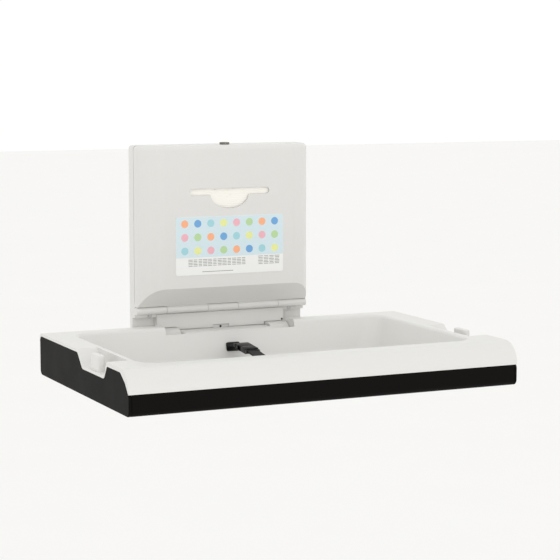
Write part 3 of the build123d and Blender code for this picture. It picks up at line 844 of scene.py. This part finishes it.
@dataclass
class Belt:
    """Safety belt: two lengths of webbing and a side-release buckle, in the belt's own plane."""

    width: float = 26 * MM
    thickness: float = 1.8 * MM
    buckle_width: float = 32 * MM
    mouth: float = 311 * MM
    socket_length: float = 40 * MM
    tongue_base: float = 34 * MM
    half_thick: float = 6 * MM
    nose_thick: float = 6.4 * MM
    drape: float = 5 * MM

    def __post_init__(self) -> None:
        """Take the belt's plane from the frame: its pivot and the buckle's slide."""
        joints = {joint["name"]: joint for joint in frame["record"]["behaviour"]["joints"]}
        self.pivot = Vector(joints["belt_lay"]["pos_m"])
        along = -Vector(joints["buckle_release"]["axis"]).normalized()
        across = Vector((-1.0, 0.0, 0.0))
        up = along.cross(across)
        turn = Matrix((along, across, up)).transposed()
        self.plane = Matrix.Translation(self.pivot) @ turn.to_4x4()

    def webbing(self, name: str, path: Sequence[Vector], thickness: float) -> bpy.types.Object:
        """Sweep a flat strap along points, with its own UV map for the weave.

        Args:
            name: the piece's name.
            path: points along the strap's middle, in the row frame.
            thickness: how thick the strap is.

        Returns:
            The strap.
        """
        bm = bmesh.new()
        half = Vector((self.width / 2, 0.0, 0.0))
        ends = [bm.verts.new(path[0] - half), bm.verts.new(path[0] + half)]
        edge = bm.edges.new(ends)
        bmesh.ops.subdivide_edges(bm, edges=[edge], cuts=5)
        uv = bm.loops.layers.uv.new("strap")
        row = list(bm.edges)
        for before, after in zip(path, path[1:]):
            grown = bmesh.ops.extrude_edge_only(bm, edges=row)["geom"]
            moved = [item for item in grown if isinstance(item, bmesh.types.BMVert)]
            row = [item for item in grown if isinstance(item, bmesh.types.BMEdge)
                   and all(vert in moved for vert in item.verts)]
            bmesh.ops.translate(bm, vec=after - before, verts=moved)
        origin = path[0]
        for face in bm.faces:
            for loop in face.loops:
                loop[uv].uv = (loop.vert.co.x, (loop.vert.co - origin).length)
        bmesh.ops.recalc_face_normals(bm, faces=bm.faces)
        bmesh.ops.solidify(bm, geom=list(bm.faces), thickness=thickness)
        bmesh.ops.recalc_face_normals(bm, faces=bm.faces)
        middle = sum((vert.co for vert in bm.verts), Vector()) / len(bm.verts)
        target = sum(path, Vector()) / len(path)
        bmesh.ops.translate(bm, vec=(0.0, 0.0, target.z - middle.z), verts=bm.verts)
        return to_object(name, bm, [Palette.WEBBING.material()], 50.0)

    def on_plane(self, along: float, up: float = 0.0) -> Vector:
        """A point on the belt's middle line.

        Args:
            along: distance from the belt's pivot towards the wall.
            up: height above the belt's plane.

        Returns:
            The point in the row frame.
        """
        return self.plane @ Vector((along, 0.0, up))

    def part(self, name: str, bm: bmesh.types.BMesh, body: str, *nodes: str) -> None:
        """Place a buckle part, fix it to its body and let it stand for CAD nodes.

        Args:
            name: the piece's name.
            bm: the part in belt coordinates.
            body: the body that it moves with.
            *nodes: the CAD nodes that it stands for.
        """
        bmesh.ops.transform(bm, matrix=self.plane, verts=bm.verts)
        bmesh.ops.recalc_face_normals(bm, faces=bm.faces)
        obj = to_object(name, bm, [Palette.ACETAL.material()])
        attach(obj, body)
        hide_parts(*nodes)
        LOG.info("%s: %d faces", name, len(obj.data.polygons))

    def block(self, bm: bmesh.types.BMesh, along: tuple[float, float], half_width: float,
              up: tuple[float, float], radius: float, middle: float = 0.0) -> None:
        """Add a block with rounded edges, in belt coordinates.

        Args:
            bm: the bmesh to add to.
            along: its start and end along the belt.
            half_width: half its width across the belt.
            up: its lower and upper face.
            radius: rounding of its edges.
            middle: offset of its middle across the belt.
        """
        verts = box_mesh(bm, (along[0], middle - half_width, up[0]),
                         (along[1], middle + half_width, up[1]))
        round_edges(bm, edges_of(verts), radius)

    def socket(self) -> None:
        """Female half: two domed skins, open at the sides, and the bar for the strap."""
        bm = bmesh.new()
        half = self.buckle_width / 2
        end = self.mouth + self.socket_length
        skin = 1.5 * MM
        for sign in (-1, 1):
            face = sorted((sign * self.half_thick, sign * (self.half_thick - skin)))
            self.block(bm, (self.mouth, end - 11 * MM), half, (face[0], face[1]), 0.6 * MM)
            for rib in range(4):
                start = self.mouth + (6 + 4 * rib) * MM
                ridge = sorted((sign * self.half_thick, sign * (self.half_thick - 0.3 * MM)))
                self.block(bm, (start, start + 1.6 * MM), half * 0.55,
                           (ridge[0] - 0.1 * MM, ridge[1] + 0.1 * MM), 0.1 * MM)
        thick = self.half_thick
        self.block(bm, (self.mouth + 28 * MM, end - 8 * MM), half, (-thick, thick), 1.6 * MM)
        self.block(bm, (end - 4 * MM, end), half, (-thick * 0.6, thick * 0.6), 1.4 * MM)
        for sign in (-1, 1):
            self.block(bm, (end - 11 * MM, end), 1.4 * MM, (-thick * 0.6, thick * 0.6),
                       0.8 * MM, sign * (half - 1.5 * MM))
        self.part("buckle_socket_moulding", bm, "belt", "buckle_socket")

    def tongue(self) -> None:
        """Male half: the base with its strap slot, its tapered waist and the guide rib."""
        bm = bmesh.new()
        half = self.buckle_width / 2
        start = self.mouth - self.tongue_base
        thick = self.nose_thick
        self.block(bm, (start + 8 * MM, self.mouth - 0.6 * MM), half, (-thick, thick), 2 * MM)
        for step in range(3):
            ridge = start + (11 + 5 * step) * MM
            self.block(bm, (ridge, ridge + 2.4 * MM), half * 0.8,
                       (thick - 0.3 * MM, thick + 0.25 * MM), 0.25 * MM)
        self.block(bm, (start, start + 4 * MM), half, (-thick * 0.6, thick * 0.6), 1.4 * MM)
        for sign in (-1, 1):
            self.block(bm, (start, start + 10 * MM), 1.5 * MM, (-thick * 0.6, thick * 0.6),
                       0.8 * MM, sign * (half - 1.6 * MM))
        self.block(bm, (self.mouth - 2 * MM, self.mouth + 22 * MM), 2.8 * MM,
                   (-thick * 0.5, thick * 0.5), 1.0 * MM)
        self.part("buckle_tongue_moulding", bm, "tongue", "buckle_tongue")

    def prongs(self) -> None:
        """The two sprung arms with their thumb pads, which stand out at the sides."""
        for sign, word in ((1, "left"), (-1, "right")):
            bm = bmesh.new()
            thick = self.half_thick * 0.55
            self.block(bm, (self.mouth, self.mouth + 18 * MM), 1.8 * MM, (-thick, thick),
                       0.8 * MM, sign * 10.5 * MM)
            self.block(bm, (self.mouth + 13.5 * MM, self.mouth + 24 * MM), 3.6 * MM,
                       (-thick, thick), 1.3 * MM, sign * 13.2 * MM)
            self.part(f"prong_{word}_moulding", bm, f"prong_{word}", f"prong_{word}")

    def straps(self) -> None:
        """Front webbing with its stitched return, and the rear webbing from the anchor."""
        start = -22 * MM
        stop = self.mouth - self.tongue_base + 5 * MM
        steps = 40
        path = []
        for index in range(steps + 1):
            share = index / steps
            sag = -self.drape * math.sin(math.pi * max(0.0, share - 0.08) / 0.92) ** 0.8
            path.append(self.on_plane(start + share * (stop - start), sag))
        front = self.webbing("front_webbing", path, self.thickness)
        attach(front, "tongue")
        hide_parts("front_strap")
        turned = [point + Vector((0.0, 0.0, 2.1 * MM)) for point in path[30:]]
        fold = self.webbing("front_webbing_return", turned, self.thickness)
        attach(fold, "tongue")
        low, high = (Vector(corner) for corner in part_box("rear_strap"))
        anchor = Vector((0.0, high.y, low.z + 1 * MM))
        bar = self.on_plane(self.mouth + self.socket_length - 6 * MM)
        back = []
        for index in range(17):
            share = index / 16
            lift = 4.0 * MM * math.sin(math.pi * share)
            back.append(anchor.lerp(bar, share) + Vector((0.0, 0.0, lift)))
        rear = self.webbing("rear_webbing", back, self.thickness)
        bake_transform(rear)
        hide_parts("rear_strap")

    def build(self) -> None:
        """Make the whole belt."""
        self.socket()
        self.tongue()
        self.prongs()
        self.straps()


# ---------------------------------------------------------------- small fittings

@dataclass
class Fittings:
    """Screws of the bed's shell and plugs beside the hinge."""

    screw_radius: float = 4.5 * MM
    screw_height: float = 1.6 * MM
    plate_out: float = 32 * MM

    def button_head(self, bm: bmesh.types.BMesh, place: Vector, outward: Vector,
                    radius: float, height: float) -> None:
        """Add a button-head screw with a socket, its head standing on a surface.

        Args:
            bm: the bmesh to add to.
            place: the point on the surface.
            outward: direction that the head faces.
            radius: head radius.
            height: head height.
        """
        turn = outward.to_track_quat("Z", "Y").to_matrix().to_4x4()
        stand = Matrix.Translation(place + outward * height / 2) @ turn
        verts = bmesh.ops.create_cone(bm, cap_ends=True, segments=28, radius1=radius,
                                      radius2=radius, depth=height, matrix=stand)["verts"]
        faces = list({face for vert in verts for face in vert.link_faces})
        top = max(faces, key=lambda face: face.calc_center_median().dot(outward))
        rim = list(top.edges)
        bmesh.ops.inset_individual(bm, faces=[top], thickness=radius * 0.52)
        socket = bmesh.ops.extrude_face_region(bm, geom=[top])["geom"]
        floor = [item for item in socket if isinstance(item, bmesh.types.BMVert)]
        bmesh.ops.translate(bm, vec=-outward * height * 0.6, verts=floor)
        bmesh.ops.delete(bm, geom=[top], context="FACES_ONLY")
        round_edges(bm, [edge for edge in rim if edge.is_valid], height * 0.5, 4)

    def shell_screws(self) -> None:
        """Screws that hold the black shell, seen from below."""
        low, high = (Vector(corner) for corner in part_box("shell_screws"))
        radius = self.screw_radius
        bm = bmesh.new()
        for column in range(4):
            x = low.x + radius + column * (high.x - low.x - 2 * radius) / 3
            for y in (low.y + radius, high.y - radius):
                self.button_head(bm, Vector((x, y, high.z)), Vector((0, 0, -1)), radius,
                                 self.screw_height)
        bmesh.ops.recalc_face_normals(bm, faces=bm.faces)
        obj = to_object("shell_button_screws", bm, [Palette.GROUND.material()])
        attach(obj, "bed")
        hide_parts("shell_screws")

    def hinge_plugs(self) -> None:
        """Black plugs in the catch plate and beside the right hinge housing."""
        bm = bmesh.new()
        low, high = (Vector(corner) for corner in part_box("catch_plate"))
        middle = Vector((0.0, low.y, (low.z + high.z) / 2))
        self.button_head(bm, middle, Vector((0, -1, 0)), 2.6 * MM, 0.8 * MM)
        high = Vector(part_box("hinge_housing_right")[1])
        corner = Vector((high.x - 3.2 * MM, -self.plate_out, high.z + 4 * MM))
        self.button_head(bm, corner, Vector((0, -1, 0)), 2.2 * MM, 0.8 * MM)
        bmesh.ops.recalc_face_normals(bm, faces=bm.faces)
        obj = to_object("hinge_plugs", bm, [Palette.RUBBER.material()])
        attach(obj, "root")

    def build(self) -> None:
        """Make every small fitting."""
        self.shell_screws()
        self.hinge_plugs()


# ---------------------------------------------------------------- studio

@dataclass
class Studio:
    """Plain floor, soft light and the camera."""

    camera_place: tuple[float, float, float] = (-1.6188, -3.8343, 0.3687)
    camera_turn: float = -24.91
    camera_dip: float = 6.72
    lens: float = 118.7
    sensor: float = 36.0
    floor_drop: float = 1.0
    floor_half: float = 30.0
    sky_colour: str = "F6F6F5"
    sky_strength: float = 1.1

    def camera(self) -> None:
        """Place the camera."""
        data = bpy.data.cameras.new("camera")
        data.lens = self.lens
        data.sensor_width = self.sensor
        obj = bpy.data.objects.new("camera", data)
        obj.location = self.camera_place
        obj.rotation_euler = (math.radians(90 - self.camera_dip), 0.0,
                              math.radians(self.camera_turn))
        bpy.context.collection.objects.link(obj)
        bpy.context.scene.camera = obj

    def floor(self) -> None:
        """Lay a wide pale floor under the table."""
        bm = bmesh.new()
        bmesh.ops.create_grid(bm, x_segments=1, y_segments=1, size=self.floor_half)
        bmesh.ops.translate(bm, vec=(0.0, 0.0, CAD_BOX[0][2] - self.floor_drop),
                            verts=bm.verts)
        # Pale matt floor, almost without a pattern
        pale = Finish("pale_floor", "F6F5F4", 0.8, grain_mm=8.0, mottle=0.01,
                      mottle_mm=400.0)
        to_object("floor", bm, [pale.build()])

    def lamp(self, name: str, place: Vector, target: Vector, size: float,
             power: float) -> None:
        """Add a square soft light.

        Args:
            name: the light's name.
            place: where it stands.
            target: the point that it faces.
            size: its side in metres.
            power: watts.
        """
        data = bpy.data.lights.new(name, "AREA")
        data.size = size
        data.energy = power
        obj = bpy.data.objects.new(name, data)
        obj.location = place
        obj.rotation_euler = (target - place).to_track_quat("-Z", "Y").to_euler()
        bpy.context.collection.objects.link(obj)

    def build(self) -> None:
        """Set the whole studio up."""
        self.camera()
        self.floor()
        middle = Vector((0.0, -0.3, -0.1))
        self.lamp("ceiling_softbox", Vector((-0.3, -1.2, 2.4)), middle, 2.4, 1.0)
        self.lamp("left_softbox", Vector((-2.6, -1.8, 0.9)), middle, 1.8, 3.0)
        self.lamp("front_softbox", Vector((0.2, -3.6, 0.2)), middle, 2.0, 9.0)
        world = bpy.data.worlds.new("studio")
        world.use_nodes = True
        background = world.node_tree.nodes["Background"]
        background.inputs["Color"].default_value = linear(self.sky_colour)
        background.inputs["Strength"].default_value = self.sky_strength
        bpy.context.scene.world = world
        bpy.context.scene.view_settings.view_transform = "Standard"


def main() -> None:
    """Build the studio and every sub-assembly in order."""
    logging.basicConfig(level=logging.INFO, format="%(name)s: %(message)s")
    Studio().build()
    FramePieces().build()
    LabelPrint().build()
    LinerPack().build()
    Belt().build()
    Fittings().build()


if __name__ == "__main__":
    main()
